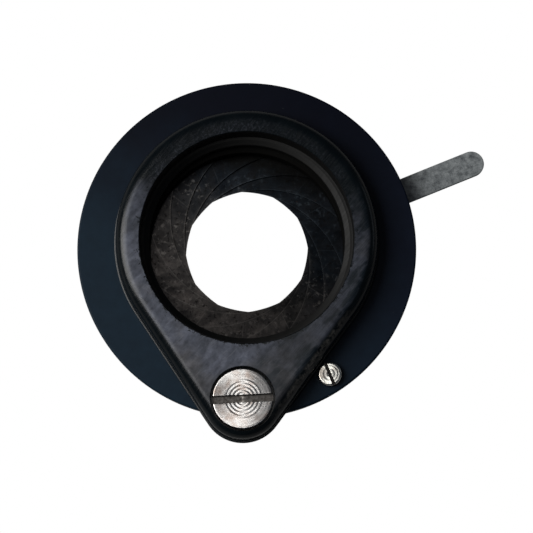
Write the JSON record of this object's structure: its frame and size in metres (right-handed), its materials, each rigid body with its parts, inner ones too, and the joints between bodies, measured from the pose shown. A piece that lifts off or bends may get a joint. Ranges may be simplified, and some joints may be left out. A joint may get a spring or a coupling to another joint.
{
  "type": "iris diaphragm with swing-out filter holder",
  "caption": "Round black microscope iris diaphragm with a slim setting lever and an empty teardrop filter holder that swings out on a slotted shoulder screw.",
  "frame": {"origin": "middle of the whole unit's footprint, on the plane of the mounting spigot's end face; the iris axis stands at X -5.50 mm, Y +2.00 mm", "axes": "+Z along the light path from the mounting spigot to the filter holder; +Y from the filter holder's pivot towards the far edge of the disc; +X to the lever's side"},
  "size_m": [0.063, 0.056, 0.0178],
  "materials": {
    "disc_black": "satin navy-black anodised",
    "cover_black": "matt black anodised",
    "holder_black": "gloss black enamel with a worn top",
    "leaf_blued": "blued spring steel, scratched",
    "cam_brass": "turned",
    "lever_zinc": "dull mottled zinc",
    "screw_nickel": "turned nickel",
    "steel_small": "plain steel"
  },
  "bodies": {
    "housing": {"iris_housing": "disc_black", "rear_cover": "cover_black", "cover_grub_screw_1": "steel_small", "cover_grub_screw_2": "steel_small", "cover_grub_screw_3": "steel_small", "cam_wave_spring": "steel_small", "pivot_screw": "screw_nickel", "pivot_washer": "steel_small", "pivot_wave_washer": "steel_small", "stop_screw": "screw_nickel"},
    "cam": {"cam_ring": "cam_brass", "iris_lever": "lever_zinc", "lever_screw_1": "steel_small", "lever_screw_2": "steel_small"},
    "holder": {"filter_holder": "holder_black"},
    "leaf_01": {"iris_leaf_01": "leaf_blued"},
    "leaf_02": {"iris_leaf_02": "leaf_blued"},
    "leaf_03": {"iris_leaf_03": "leaf_blued"},
    "leaf_04": {"iris_leaf_04": "leaf_blued"},
    "leaf_05": {"iris_leaf_05": "leaf_blued"},
    "leaf_06": {"iris_leaf_06": "leaf_blued"},
    "leaf_07": {"iris_leaf_07": "leaf_blued"},
    "leaf_08": {"iris_leaf_08": "leaf_blued"},
    "leaf_09": {"iris_leaf_09": "leaf_blued"},
    "leaf_10": {"iris_leaf_10": "leaf_blued"},
    "leaf_11": {"iris_leaf_11": "leaf_blued"},
    "leaf_12": {"iris_leaf_12": "leaf_blued"}
  },
  "joints": [
    {"name": "iris_lever_turn", "type": "hinge", "parent": "housing", "child": "cam", "pos_m": [-0.0055, 0.002, 0.0069], "axis": [0, 0, 1], "range_deg": [-34, 49]},
    {"name": "leaf_01_pivot", "type": "hinge", "parent": "housing", "child": "leaf_01", "pos_m": [0.01409, 0.00486, 0.01018], "axis": [0, 0, 1], "range_deg": [-16.5, 23.7]},
    {"name": "leaf_02_pivot", "type": "hinge", "parent": "housing", "child": "leaf_02", "pos_m": [0.01004, 0.01427, 0.01018], "axis": [0, 0, 1], "range_deg": [-16.5, 23.7]},
    {"name": "leaf_03_pivot", "type": "hinge", "parent": "housing", "child": "leaf_03", "pos_m": [0.00182, 0.0204, 0.01018], "axis": [0, 0, 1], "range_deg": [-16.5, 23.7]},
    {"name": "leaf_04_pivot", "type": "hinge", "parent": "housing", "child": "leaf_04", "pos_m": [-0.00836, 0.02159, 0.01018], "axis": [0, 0, 1], "range_deg": [-16.5, 23.7]},
    {"name": "leaf_05_pivot", "type": "hinge", "parent": "housing", "child": "leaf_05", "pos_m": [-0.01777, 0.01754, 0.01018], "axis": [0, 0, 1], "range_deg": [-16.5, 23.7]},
    {"name": "leaf_06_pivot", "type": "hinge", "parent": "housing", "child": "leaf_06", "pos_m": [-0.0239, 0.00932, 0.01018], "axis": [0, 0, 1], "range_deg": [-16.5, 23.7]},
    {"name": "leaf_07_pivot", "type": "hinge", "parent": "housing", "child": "leaf_07", "pos_m": [-0.0251, -0.00086, 0.01018], "axis": [0, 0, 1], "range_deg": [-16.5, 23.7]},
    {"name": "leaf_08_pivot", "type": "hinge", "parent": "housing", "child": "leaf_08", "pos_m": [-0.02104, -0.01027, 0.01018], "axis": [0, 0, 1], "range_deg": [-16.5, 23.7]},
    {"name": "leaf_09_pivot", "type": "hinge", "parent": "housing", "child": "leaf_09", "pos_m": [-0.01282, -0.0164, 0.01018], "axis": [0, 0, 1], "range_deg": [-16.5, 23.7]},
    {"name": "leaf_10_pivot", "type": "hinge", "parent": "housing", "child": "leaf_10", "pos_m": [-0.00264, -0.01759, 0.01018], "axis": [0, 0, 1], "range_deg": [-16.5, 23.7]},
    {"name": "leaf_11_pivot", "type": "hinge", "parent": "housing", "child": "leaf_11", "pos_m": [0.00677, -0.01354, 0.01018], "axis": [0, 0, 1], "range_deg": [-16.5, 23.7]},
    {"name": "leaf_12_pivot", "type": "hinge", "parent": "housing", "child": "leaf_12", "pos_m": [0.01289, -0.00532, 0.01018], "axis": [0, 0, 1], "range_deg": [-16.5, 23.7]},
    {"name": "filter_holder_swing", "type": "hinge", "parent": "housing", "child": "holder", "pos_m": [-0.0055, -0.0217, 0.01275], "axis": [0, 0, 1], "range_deg": [0, 215]}
  ],
  "couplings": [
    {"joint": "leaf_01_pivot", "follows": "iris_lever_turn", "ratio": 0.4815},
    {"joint": "leaf_02_pivot", "follows": "iris_lever_turn", "ratio": 0.4815},
    {"joint": "leaf_03_pivot", "follows": "iris_lever_turn", "ratio": 0.4815},
    {"joint": "leaf_04_pivot", "follows": "iris_lever_turn", "ratio": 0.4815},
    {"joint": "leaf_05_pivot", "follows": "iris_lever_turn", "ratio": 0.4815},
    {"joint": "leaf_06_pivot", "follows": "iris_lever_turn", "ratio": 0.4815},
    {"joint": "leaf_07_pivot", "follows": "iris_lever_turn", "ratio": 0.4815},
    {"joint": "leaf_08_pivot", "follows": "iris_lever_turn", "ratio": 0.4815},
    {"joint": "leaf_09_pivot", "follows": "iris_lever_turn", "ratio": 0.4815},
    {"joint": "leaf_10_pivot", "follows": "iris_lever_turn", "ratio": 0.4815},
    {"joint": "leaf_11_pivot", "follows": "iris_lever_turn", "ratio": 0.4815},
    {"joint": "leaf_12_pivot", "follows": "iris_lever_turn", "ratio": 0.4815}
  ]
}
